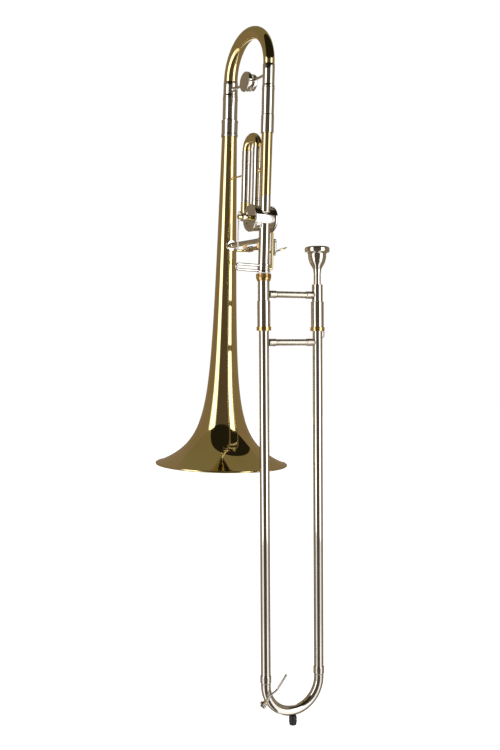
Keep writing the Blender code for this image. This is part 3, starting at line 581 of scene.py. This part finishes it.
class TROMBONE_OT_valve(bpy.types.Operator):
    """Build the rotary valve: casing, caps, ported rotor, stop arm and link"""
    bl_idname = "trombone.valve"
    bl_label = "Rotary valve"

    def execute(self, context):
        centre = (0, VALVE_Y, VALVE_Z)
        half = CASING_HALF
        bore = CASING_RADIUS - 2.6 * MM
        profile = tube_profile(CASING_RADIUS, bore, half, -half)
        add_piece("valve_casing", along_x(lathe(profile), centre), NICKEL)
        front = -half - 3.8 * MM
        spindle = 4.4 * MM
        rotor_half = half - 0.5 * MM
        rotor_radius = bore - 0.08 * MM
        profile = [(0, rotor_half), (rotor_radius, rotor_half), (rotor_radius, -rotor_half),
                   (spindle, -rotor_half), (spindle, front - 14 * MM),
                   (spindle - 0.8 * MM, front - 15 * MM), (spindle - 0.8 * MM, front - 20 * MM),
                   (0, front - 20 * MM)]
        rotor = along_x(lathe(profile, 0.2 * MM, False), centre)
        passages = []
        for side in (1, -1):
            height = VALVE_Z + side * 1.15 * bore
            passages.append(plain_bar((0, VALVE_Y - CASING_RADIUS, height),
                                      (0, VALVE_Y + CASING_RADIUS, height), 0.62 * bore, 0))
        add_piece("rotor", combined(rotor, passages, "DIFFERENCE"), BRASS, "valve_rotor")
        cap = 21.3 * MM
        hole = spindle + 0.08 * MM
        near = -half - GAP
        profile = [(hole, near), (cap, near), (cap, near - 2.4 * MM), (cap - MM, near - 3.5 * MM),
                   (cap * 0.62, near - 3.5 * MM), (cap * 0.56, near - 1.8 * MM),
                   (hole, near - 1.8 * MM)]
        add_piece("front_cap", along_x(lathe(profile), centre), NICKEL)
        near = half + GAP
        profile = [(0, near + 3.5 * MM), (cap * 0.5, near + 3.5 * MM),
                   (cap * 0.53, near + 3.0 * MM), (cap * 0.8, near + 3.0 * MM),
                   (cap * 0.83, near + 3.5 * MM), (cap - MM, near + 3.5 * MM),
                   (cap, near + 2.4 * MM), (cap, near), (0, near)]
        add_piece("rear_cap", along_x(lathe(profile, 0.3 * MM, False), centre), NICKEL)
        plane = front - 11 * MM
        hub = Vector((plane, VALVE_Y, VALVE_Z))
        profile = tube_profile(6.7 * MM, 4.7 * MM, 2.4 * MM, -2.4 * MM)
        add_piece("stop_arm_hub", along_x(lathe(profile), hub), NICKEL, "valve_rotor")
        way = Vector((0, math.sqrt(0.5), math.sqrt(0.5)))
        arm = plain_bar(hub + way * 7 * MM, hub + way * ARM_LENGTH, 1.2 * MM, 0.5 * MM)
        add_piece("stop_arm", arm, NICKEL, "valve_rotor")
        top = hub + way * ARM_LENGTH - Vector((ARM_TO_LINK, 0, 0))
        bottom = Vector((top.x, top.y, LINK_BOTTOM))
        add_piece("link_rod", plain_bar(bottom, top, 1.2 * MM, 0.5 * MM), NICKEL, "link")
        return {"FINISHED"}


class TROMBONE_OT_f_attachment(bpy.types.Operator):
    """Build the F attachment's wrap, its tuning slide and its braces"""
    bl_idname = "trombone.f_attachment"
    bl_label = "F attachment"

    def execute(self, context):
        radius = 7.6 * MM
        low = 116 * MM
        high = 176 * MM
        bend = VALVE_Z - 3 * MM
        knuckle = plain_bar((0, F_NEAR, bend + radius + 2 * GAP), (0, F_NEAR, low - GAP), radius)
        add_piece("f_inlet_knuckle", combined(knuckle, [casing_tool()], "DIFFERENCE"), NICKEL)
        leg = 6.9 * MM
        top = 199 * MM - GAP
        sleeve = [(radius, high), (radius, high - 2.4 * MM), (radius - 0.2 * MM, high - 3 * MM),
                  (radius - 0.2 * MM, low + 3 * MM), (radius, low + 2.4 * MM), (radius, low),
                  (leg + 0.08 * MM, low), (leg + 0.08 * MM, high)]
        inner = [(radius, top), (radius, high + GAP), (leg, high + GAP), (leg, low + 4 * MM),
                 (leg - 0.5 * MM, low + 4 * MM), (leg - 0.5 * MM, top)]
        for side, y in (("inlet", F_NEAR), ("return", F_FAR)):
            add_piece("f_" + side + "_sleeve", moved(lathe(sleeve, 0.2 * MM), (0, y, 0)), NICKEL)
            mesh = moved(lathe(inner, 0.2 * MM), (0, y, 0))
            add_piece("f_" + side + "_leg", mesh, NICKEL, "f_tuning_slide")
        turn = 22 * MM
        points = [Vector((0, F_FAR, low - GAP))]
        points += arc((0, F_FAR - turn, bend + turn), turn, 0, -90, 24, (Y, Z))
        points.append(Vector((0, VALVE_Y + 0.6 * CASING_RADIUS, bend)))
        elbow = swept(points, radius, BRASS, 56)
        add_piece("f_return_elbow", combined(elbow, [casing_tool()], "DIFFERENCE"), BRASS)
        points = u_bend(F_NEAR, F_FAR, 199 * MM, 48)
        add_piece("f_bow", swept(points, leg, BRASS, 56), BRASS, "f_tuning_slide")
        height = 162 * MM
        stem = bell_radius(height - RIM_Z)
        for node, start, end, waist in (
                ("f_bell_brace", F_FAR + radius, BELL_Y - stem, 1.3 * MM),
                ("f_neck_brace", 8.9 * MM, F_NEAR - radius, 1.9 * MM)):
            length = end - start - 2 * GAP
            foot = waist + 1 * MM
            profile = [(0, length), (foot, length), (foot, length - 1.2 * MM),
                       (waist, length - 2.5 * MM), (waist, 2.5 * MM), (foot, 1.2 * MM),
                       (foot, 0), (0, 0)]
            mesh = bar((0, start + GAP, height), (0, end - GAP, height), profile)
            add_piece(node, mesh, GOLD)
        return {"FINISHED"}


class TROMBONE_OT_lever(bpy.types.Operator):
    """Build the main brace, the thumb lever on its axle, its posts and its spring"""
    bl_idname = "trombone.lever"
    bl_label = "Thumb lever"

    def execute(self, context):
        stem = bell_radius(BRACE_Z - RIM_Z)
        start = 9.2 * MM
        end = BELL_Y - stem - 2 * MM
        length = end - start
        profile = [(0, length), (5 * MM, length), (5 * MM, length - 5 * MM),
                   (4 * MM, length - 6 * MM), (4 * MM, 6 * MM), (5 * MM, 5 * MM), (5 * MM, 0),
                   (0, 0)]
        mesh = bar((0, start, BRACE_Z), (0, end, BRACE_Z), profile)
        add_piece("main_brace", mesh, NICKEL)
        flange = plain_bar((0, end + GAP, BRACE_Z), (0, BELL_Y, BRACE_Z), 8.8 * MM, MM)
        stem_tool = plain_bar((0, BELL_Y, BRACE_Z - 30 * MM), (0, BELL_Y, BRACE_Z + 30 * MM),
                              stem + 0.1 * MM, 0)
        add_piece("brace_flange", combined(flange, [stem_tool], "DIFFERENCE"), NICKEL)
        mesh = plain_bar((0, 13 * MM, AXLE_Z), (0, 64 * MM, AXLE_Z), 1.6 * MM, 0.4 * MM)
        add_piece("lever_axle", mesh, STEEL)
        for node, y in (("axle_post_near", 16.3 * MM), ("axle_post_far", 60.6 * MM)):
            mesh = plain_bar((0, y, AXLE_Z - 1 * MM), (0, y, BRACE_Z), 3.4 * MM, 0.6 * MM)
            tools = [plain_bar((0, y - 7 * MM, height), (0, y + 7 * MM, height), size, 0)
                     for height, size in ((AXLE_Z, 1.68 * MM), (BRACE_Z, 4.1 * MM))]
            add_piece(node, combined(mesh, tools, "DIFFERENCE"), GOLD)
        near = 20 * MM
        far = 36 * MM
        barrel = plain_bar((0, near, AXLE_Z), (0, far, AXLE_Z), 3.2 * MM)
        link_y = VALVE_Y + ARM_LENGTH * math.sqrt(0.5) + LINK_TO_LEVER
        link = Vector((LINK_X, link_y, LINK_BOTTOM))
        arm = softened([Vector((0, link.y, AXLE_Z)), Vector((-10 * MM, link.y, AXLE_Z - 5 * MM)),
                        link])
        root = near + 3 * MM
        stalk = softened([Vector((0, root, AXLE_Z)), Vector((10 * MM, root, AXLE_Z - 4 * MM)),
                          Vector((20 * MM, root - 8 * MM, AXLE_Z - 6 * MM)),
                          Vector((26 * MM, root - 14 * MM, AXLE_Z - 3 * MM))])
        half = 0.9 * MM
        oval = lathe([(0, half * 0.5), (0.3, half * 0.6), (0.44, half), (0.5, half * 0.4),
                      (0.5, -half * 0.4), (0.44, -half), (0, -half)], 0, False)
        place = stalk[-1] + Vector((8.6 * MM, -1 * MM, 2.2 * MM))
        oval.transform(Matrix.Translation(place) @ Matrix.Rotation(math.radians(-22), 4, "Y")
                       @ Matrix.Diagonal((24 * MM, 14 * MM, 1, 1)))
        parts = [swept(arm, 1.8 * MM, BRASS, 24), swept(stalk, 1.8 * MM, BRASS, 24), oval]
        lever = combined(barrel, parts, "UNION")
        bore = plain_bar((0, near - 9 * MM, AXLE_Z), (0, far + 9 * MM, AXLE_Z), 1.68 * MM, 0)
        add_piece("thumb_lever", combined(lever, [bore], "DIFFERENCE"), BRASS, "lever")
        points = []
        for i in range(5 * 24 + 1):
            turn = 2 * math.pi * i / 24
            points.append(Vector((4.2 * MM * math.cos(turn), far + 2 * MM + 2 * MM * i / 24,
                                  AXLE_Z + 4.2 * MM * math.sin(turn))))
        add_piece("lever_spring", swept(points, 0.5 * MM, STEEL, 10), STEEL)
        return {"FINISHED"}


class TROMBONE_OT_finger_rest(bpy.types.Operator):
    """Bend the finger rest that stands out beside the slide receiver"""
    bl_idname = "trombone.finger_rest"
    bl_label = "Finger rest"

    def execute(self, context):
        start = 10.5 * MM
        low = 3.5 * MM
        high = 11.7 * MM
        turn = (high - low) / 2
        end = -start - 38 * MM + turn
        points = [Vector((-start, 0, high)), Vector((end, 0, high))]
        points += arc((end, 0, low + turn), turn, 90, 270, 24, (X, Z))[1:]
        points.append(Vector((-start, 0, low)))
        add_piece("finger_rest", swept(points, 2.1 * MM, NICKEL, 32), NICKEL)
        return {"FINISHED"}


class TROMBONE_OT_slide_top(bpy.types.Operator):
    """Build the inner slide: tubes, corks and barrels, joint, lock nut and its brace"""
    bl_idname = "trombone.slide_top"
    bl_label = "Inner slide"

    def execute(self, context):
        inner = 7.22 * MM
        top = -42 * MM - GAP
        barrel = 10.2 * MM
        bore = 8.95 * MM
        low = -82.5 * MM
        ring = 11.4 * MM
        for side, x in (("left", 0), ("right", SPACING)):
            at = (x, 0, 0)
            mesh = lathe(tube_profile(inner, inner - 0.6 * MM, top, -620 * MM), 0.1 * MM)
            add_piece("inner_tube_" + side, moved(mesh, at), NICKEL, "root", False)
            profile = [(barrel, top), (barrel, low), (bore, low), (bore, top - 2 * MM),
                       (inner + GAP, top - 2 * MM), (inner + GAP, top)]
            add_piece("cork_barrel_" + side, moved(lathe(profile, 0.6 * MM), at), NICKEL, "root",
                      False)
            profile = tube_profile(bore - GAP, inner + GAP, top - 2.3 * MM, top - 9 * MM)
            mesh = moved(lathe(profile, 0.2 * MM), at)
            add_piece("barrel_cork_" + side, mesh, CORK, "root", False)
        sleeve = 9.1 * MM
        mesh = lathe([(0, -GAP), (sleeve, -GAP), (sleeve, -42 * MM), (0, -42 * MM)], 0.3 * MM,
                     False)
        add_piece("slide_joint", mesh, NICKEL, "root", False)
        profile = tube_profile(8.6 * MM, 5.9 * MM, -15 * MM, -42 * MM)
        add_piece("mouthpiece_receiver", moved(lathe(profile, 0.6 * MM), (SPACING, 0, 0)), NICKEL,
                  "root", False)
        self.brace("inner_slide_brace", -32 * MM, 9.1 * MM, 8.6 * MM, "root")
        hole = sleeve + 0.08 * MM
        nut = 11.9 * MM
        profile = [(hole, -GAP), (nut - 0.9 * MM, -GAP), (nut - 0.3 * MM, -1 * MM),
                   (nut - 0.3 * MM, -7.8 * MM), (hole + 1 * MM, -12 * MM), (hole, -12 * MM)]
        ridges = knurls(context.scene.trombone.ridges, nut - 0.45 * MM, 6 * MM, 0.42 * MM, GOLD)
        mesh = joined([lathe(profile), moved(ridges, (0, 0, -4.5 * MM))])
        add_piece("lock_nut", mesh, GOLD, "nut", False)
        mesh = lathe(tube_profile(ring, bore, low, low - 6.2 * MM), 0.5 * MM)
        add_piece("barrel_ring_left", mesh, GOLD, "root", False, False)
        top = low - GAP
        mesh = lathe(tube_profile(ring, bore, top, top - 6.2 * MM), 0.5 * MM)
        add_piece("slide_lock_ring", moved(mesh, (SPACING, 0, 0)), GOLD, "slide_lock", False)
        tab = softened([Vector((SPACING + 10 * MM, 0, top - 5 * MM)),
                        Vector((SPACING + 12.6 * MM, 0, top - 8 * MM)),
                        Vector((SPACING + 12 * MM, 0, top - 15 * MM)),
                        Vector((SPACING + 9.4 * MM, 0, top - 17 * MM))], 2 * MM)
        mesh = swept(tab, 1.1 * MM, NICKEL, 20)
        add_piece("slide_lock_tab", mesh, NICKEL, "slide_lock", False, False)
        return {"FINISHED"}

    @staticmethod
    def brace(node, height, left, right, body):
        """A slide brace with a rounded socket at each end."""
        start = left + GAP
        end = SPACING - right - GAP
        thick = 5.8 * MM
        thin = 5.0 * MM
        profile = [(0, end), (thick, end), (thick, end - 12 * MM), (thin, end - 12.5 * MM),
                   (thin, start + 12.5 * MM), (thick, start + 12 * MM), (thick, start),
                   (0, start)]
        mesh = along_x(lathe(profile, 0.5 * MM, False), (0, 0, height))
        add_piece(node, mesh, SATIN, body, False)


class TROMBONE_OT_outer_slide(bpy.types.Operator):
    """Build the outer slide: two tubes, crook, ferrules, brace and rubber bumper"""
    bl_idname = "trombone.outer_slide"
    bl_label = "Outer slide"

    def execute(self, context):
        body = "outer_slide"
        bottom = CROOK_Z + 4 * MM
        ferrule = OUTER_RADIUS + 1.0 * MM
        hole = OUTER_RADIUS + 0.1 * MM
        for side, x in (("left", 0), ("right", SPACING)):
            profile = tube_profile(OUTER_RADIUS, OUTER_RADIUS - 0.45 * MM, -52 * MM, bottom)
            mesh = moved(lathe(profile, 0.1 * MM), (x, 0, 0))
            add_piece("outer_tube_" + side, mesh, NICKEL, body, False)
            top = bottom + 12 * MM
            profile = [(hole + GAP, top), (ferrule, top - 1 * MM), (ferrule, bottom + 1 * MM),
                       (hole + GAP, bottom), (hole, bottom), (hole, top)]
            mesh = moved(lathe(profile), (x, 0, 0))
            add_piece("crook_ferrule_" + side, mesh, NICKEL, body, False)
        radius = SPACING / 2
        points = [Vector((0, 0, bottom - GAP))]
        points += arc((radius, 0, CROOK_Z), radius, 180, 360, 80, (X, Z))
        points.append(Vector((SPACING, 0, bottom - GAP)))
        add_piece("slide_crook", swept(points, OUTER_RADIUS, NICKEL, 64), NICKEL, body, False)
        top = CROOK_Z - radius - OUTER_RADIUS - GAP
        small = 5.35 * MM
        wide = 6.3 * MM
        profile = [(0, top), (small, top), (wide, top - 3 * MM), (wide, top - 6 * MM),
                   (wide - 0.6 * MM, top - 6.6 * MM), (wide - 0.6 * MM, top - 7.4 * MM),
                   (wide, top - 8 * MM), (wide, top - 10 * MM), (small, top - 15 * MM),
                   (0, top - 15 * MM)]
        mesh = moved(lathe(profile, 0.5 * MM, False), (radius, 0, 0))
        add_piece("rubber_bumper", mesh, RUBBER, body, False)
        TROMBONE_OT_slide_top.brace("outer_slide_brace", -107 * MM, OUTER_RADIUS, OUTER_RADIUS,
                                    body)
        return {"FINISHED"}


class TROMBONE_OT_water_key(bpy.types.Operator):
    """Build the water key's bent lever, its pad, nipple and saddle"""
    bl_idname = "trombone.water_key"
    bl_label = "Water key"

    def execute(self, context):
        radius = SPACING / 2
        turn = math.radians(208)
        out = Vector((math.cos(turn), 0, math.sin(turn)))
        centre = Vector((radius, 0, CROOK_Z))
        seat = centre + out * (radius + OUTER_RADIUS + GAP)
        nipple = [(0, 3 * MM), (3.0 * MM, 3 * MM), (3.0 * MM, 1.2 * MM), (3.4 * MM, 0.9 * MM),
                  (3.4 * MM, 0), (0, 0)]
        mesh = bar(seat, seat + out, nipple)
        add_piece("key_nipple", mesh, GOLD, "outer_slide", False)
        cup = seat + out * 3.3 * MM
        mesh = plain_bar(cup, cup + out * 3.5 * MM, 4.4 * MM, 0.8 * MM)
        add_piece("key_pad", mesh, STEEL, "water_key", False)
        turn = math.radians(194)
        pivot = centre + radius * Vector((math.cos(turn), 0, math.sin(turn)))
        start = pivot - Vector((0, OUTER_RADIUS + GAP, 0))
        mesh = plain_bar(start, start - Vector((0, 3 * MM, 0)), 2.6 * MM, 0.4 * MM)
        add_piece("key_saddle", mesh, NICKEL, "outer_slide", False)
        shift = Vector((0, -OUTER_RADIUS - 5 * MM, 0))
        back = cup + out * 5.2 * MM
        tip = Vector((31 * MM, 0, CROOK_Z + 16 * MM))
        points = softened([back, back + shift, pivot + shift, pivot + shift - out * 12 * MM,
                           tip + shift * 0.9], 3 * MM)
        last = len(points) - 1
        radii = [(1.4 + 0.5 * max(0, 2 * i / last - 1)) * MM for i in range(last + 1)]
        mesh = swept(points, radii, NICKEL, 24)
        add_piece("water_key", mesh, NICKEL, "water_key", False)
        return {"FINISHED"}


class TROMBONE_OT_mouthpiece(bpy.types.Operator):
    """Turn the cup mouthpiece with its rim, cup, throat and tapered shank"""
    bl_idname = "trombone.mouthpiece"
    bl_label = "Mouthpiece"

    def execute(self, context):
        outer = [(17.2, 45), (19, 43.8), (19.8, 41.5), (19.4, 37), (17.8, 36), (14.8, 34),
                 (14.2, 27), (11.8, 19), (7.8, 12), (6.4, 8), (5.6, 2)]
        shank = [(5.6, -15), (5.0, -30), (3.6, -30)]
        cup = [(3.6, 17), (4.6, 21), (10.33, 30.6), (12.6, 41), (13.8, 44)]
        profile = smooth_profile(outer) + shank + smooth_profile(cup)
        profile = [(radius * MM, height * MM) for radius, height in profile]
        mesh = moved(lathe(profile, 0, True, 96), (SPACING, 0, 0))
        add_piece("mouthpiece", mesh, NICKEL, "mouthpiece", False)
        return {"FINISHED"}


# Glowing cards that paint the reflections on the metal: from and to, in degrees round the object from
# the camera's side towards its right, and their glow colour. What lies between two walls shows as a
# bright line on a tube.
REFLECTION_WALLS = ((-37, 35, "5A5146"), (72, 176, "8E7F6B"), (184, 286, "8E7F6B"))
REFLECTION_ROOFS = ((-60, 130, "232119"), (130, 300, "857C62"))
TO_CAMERA = Vector((-0.4384, -0.8988, 0))
TO_RIGHT = Vector((0.8988, -0.4384, 0))
CARD_DISTANCE = 1.9
CARD_TOP = 1.1
STRIP_DISTANCE = 1.7
STRIP_DIRECTIONS = (-55.5, 53.5)
STRIP_WIDTH = 0.8
STRIP_HEIGHT = 1.9
STRIP_Z = 0.1
SUN_STRENGTH = 1.3
SUN_ANGLE = math.radians(25)
SUN_SOURCE = TO_CAMERA * 0.6 - TO_RIGHT * 0.7 + Z * 1.3

# Camera, measured from the left slide tube: how far in front, how far to the left, and height
CAMERA_DISTANCE = 1.431
CAMERA_LEFT = 0.022
CAMERA_Z = -0.1135
CAMERA_TILT = math.radians(1.76)
CAMERA_ROLL = math.radians(-0.35)
LENS = 44.16


class TROMBONE_OT_stage(bpy.types.Operator):
    """Set the floor, the cards, the lights and the camera"""
    bl_idname = "trombone.stage"
    bl_label = "Stage"

    def execute(self, context):
        scene = context.scene
        scene.view_settings.view_transform = "Standard"
        self.world(scene)
        self.floor(scene)
        self.cards(scene)
        self.lights(scene)
        self.camera(scene)
        return {"FINISHED"}

    @staticmethod
    def direction(degrees):
        turn = math.radians(degrees)
        return math.cos(turn) * TO_CAMERA + math.sin(turn) * TO_RIGHT

    @staticmethod
    def seen_white(tree):
        """1 for camera, glossy and transmission rays, 0 for the light on the object."""
        path = add_node(tree, "ShaderNodeLightPath")
        value = path.outputs["Is Camera Ray"]
        for name in ("Is Glossy Ray", "Is Transmission Ray"):
            both = add_node(tree, "ShaderNodeMath", {"operation": "MAXIMUM"})
            tree.links.new(value, both.inputs[0])
            tree.links.new(path.outputs[name], both.inputs[1])
            value = both.outputs["Value"]
        return value

    def world(self, scene):
        world = bpy.data.worlds.new("white_studio")
        scene.world = world
        world.use_nodes = True
        tree = world.node_tree
        background = tree.nodes["Background"]
        background.inputs["Color"].default_value = (1, 1, 1, 1)
        strength = add_node(tree, "ShaderNodeMapRange", None,
                            {"Value": self.seen_white(tree), "To Min": 0.7, "To Max": 1.0})
        tree.links.new(strength.outputs["Result"], background.inputs["Strength"])

    def floor(self, scene):
        mesh = bpy.data.meshes.new("studio_floor")
        work = bmesh.new()
        bmesh.ops.create_grid(work, x_segments=1, y_segments=1, size=12)
        work.to_mesh(mesh)
        work.free()
        mesh.transform(Matrix.Translation((0, 0, FLOOR_Z)))
        material = bpy.data.materials.new("matt_white_card")
        material.use_nodes = True
        tree = material.node_tree
        shader = tree.nodes["Principled BSDF"]
        shader.inputs["Base Color"].default_value = linear("EBEBEB")
        shader.inputs["Roughness"].default_value = 0.9
        shader.inputs["Specular IOR Level"].default_value = 0.0
        glow = add_node(tree, "ShaderNodeMapRange", None,
                        {"Value": self.seen_white(tree), "To Min": 0.0, "To Max": 0.35})
        shader.inputs["Emission Color"].default_value = (1, 1, 1, 1)
        tree.links.new(glow.outputs["Result"], shader.inputs["Emission Strength"])
        mesh.materials.append(material)
        floor = bpy.data.objects.new("studio_floor", mesh)
        scene.collection.objects.link(floor)

    def cards(self, scene):
        """Glowing cards on the floor, upright and overhead, which only reflections see: their glow
        colours paint the dark and tan reflections on the metal.
        """
        low = FLOOR_Z + 1 * MM
        wall = ((0.02, low), (CARD_DISTANCE, low), (CARD_DISTANCE, CARD_TOP))
        roof = ((CARD_DISTANCE, CARD_TOP), (1.4, 1.6), (0.02, 1.9))
        cards = [(*row, wall) for row in REFLECTION_WALLS] + [(*row, roof) for row in REFLECTION_ROOFS]
        for number, (start, end, code, shape) in enumerate(cards):
            name = "glowing_reflection_card_%d" % number
            steps = max(2, int((end - start) / 6))
            verts = []
            for i in range(steps + 1):
                way = self.direction(start + (end - start) * i / steps)
                for distance, height in shape:
                    verts.append((way.x * distance, way.y * distance, height))
            faces = []
            for i in range(steps):
                for row in (3 * i, 3 * i + 1):
                    faces.append((row, row + 3, row + 4, row + 1))
            mesh = bpy.data.meshes.new(name)
            mesh.from_pydata(verts, [], faces)
            material = bpy.data.materials.new(name)
            material.use_nodes = True
            shader = material.node_tree.nodes["Principled BSDF"]
            shader.inputs["Base Color"].default_value = (0, 0, 0, 1)
            shader.inputs["Specular IOR Level"].default_value = 0.0
            # Painted reflection: the card glows in this colour, and only the metal's reflections show
            # it
            shader.inputs["Emission Color"].default_value = linear(code)
            shader.inputs["Emission Strength"].default_value = 1.0
            mesh.materials.append(material)
            card = bpy.data.objects.new(name, mesh)
            scene.collection.objects.link(card)
            card.visible_camera = False
            card.visible_diffuse = False
            card.visible_shadow = False
            card.visible_transmission = False
            card.visible_volume_scatter = False

    def lights(self, scene):
        sun = bpy.data.lights.new("soft_key", "SUN")
        sun.energy = SUN_STRENGTH
        sun.angle = SUN_ANGLE
        lamp = bpy.data.objects.new("soft_key", sun)
        scene.collection.objects.link(lamp)
        lamp.rotation_euler = SUN_SOURCE.to_track_quat("Z", "Y").to_euler()
        lamp.visible_glossy = False
        for degrees in STRIP_DIRECTIONS:
            strip = bpy.data.lights.new("strip_light", "AREA")
            strip.shape = "RECTANGLE"
            strip.size = STRIP_WIDTH
            strip.size_y = STRIP_HEIGHT
            strip.energy = scene.trombone.strip_light * math.pi * strip.size * strip.size_y
            lamp = bpy.data.objects.new("strip_light", strip)
            scene.collection.objects.link(lamp)
            spot = STRIP_DISTANCE * self.direction(degrees)
            lamp.location = (spot.x, spot.y, STRIP_Z)
            lamp.rotation_euler = spot.to_track_quat("Z", "Y").to_euler()
            lamp.visible_camera = False

    def camera(self, scene):
        data = bpy.data.cameras.new("camera")
        data.sensor_width = 36
        data.lens = LENS
        data.clip_start = 0.01
        camera = bpy.data.objects.new("camera", data)
        scene.collection.objects.link(camera)
        camera.location = TO_CAMERA * CAMERA_DISTANCE - TO_RIGHT * CAMERA_LEFT + Z * CAMERA_Z
        back = TO_CAMERA * math.cos(CAMERA_TILT) + Z * math.sin(CAMERA_TILT)
        roll = Quaternion((0, 0, 1), CAMERA_ROLL)
        camera.rotation_mode = "QUATERNION"
        camera.rotation_quaternion = back.to_track_quat("Z", "Y") @ roll
        scene.camera = camera


OPERATORS = (TROMBONE_OT_bell, TROMBONE_OT_tuning_slide, TROMBONE_OT_neck, TROMBONE_OT_valve,
             TROMBONE_OT_f_attachment, TROMBONE_OT_lever, TROMBONE_OT_finger_rest,
             TROMBONE_OT_slide_top, TROMBONE_OT_outer_slide, TROMBONE_OT_water_key,
             TROMBONE_OT_mouthpiece, TROMBONE_OT_stage)


class TROMBONE_PT_panel(bpy.types.Panel):
    """The instrument's settings and a button for each piece"""
    bl_label = "Trombone"
    bl_idname = "TROMBONE_PT_panel"
    bl_space_type = "VIEW_3D"
    bl_region_type = "UI"
    bl_category = "Trombone"

    def draw(self, context):
        settings = context.scene.trombone
        for name in ("sides", "ridges", "strip_light"):
            self.layout.prop(settings, name)
        for operator in OPERATORS:
            self.layout.operator(operator.bl_idname)


CLASSES = (TromboneSettings, *OPERATORS, TROMBONE_PT_panel)


def register():
    for item in CLASSES:
        bpy.utils.register_class(item)
    bpy.types.Scene.trombone = bpy.props.PointerProperty(type=TromboneSettings)


def unregister():
    del bpy.types.Scene.trombone
    for item in reversed(CLASSES):
        bpy.utils.unregister_class(item)


def dress_nodes():
    """Give every CAD node the finish of its slot in the record."""
    slots = {row["node"]: row["material_slot"] for row in frame["record"]["subparts"]}
    for name, node in frame["nodes"].items():
        node.data.materials.clear()
        node.data.materials.append(MATERIALS[SLOT_FINISH[slots[name]]])


def main():
    register()
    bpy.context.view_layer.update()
    dress_nodes()
    for operator in OPERATORS:
        group, name = operator.bl_idname.split(".")
        getattr(getattr(bpy.ops, group), name)()


if __name__ == "__main__":
    main()
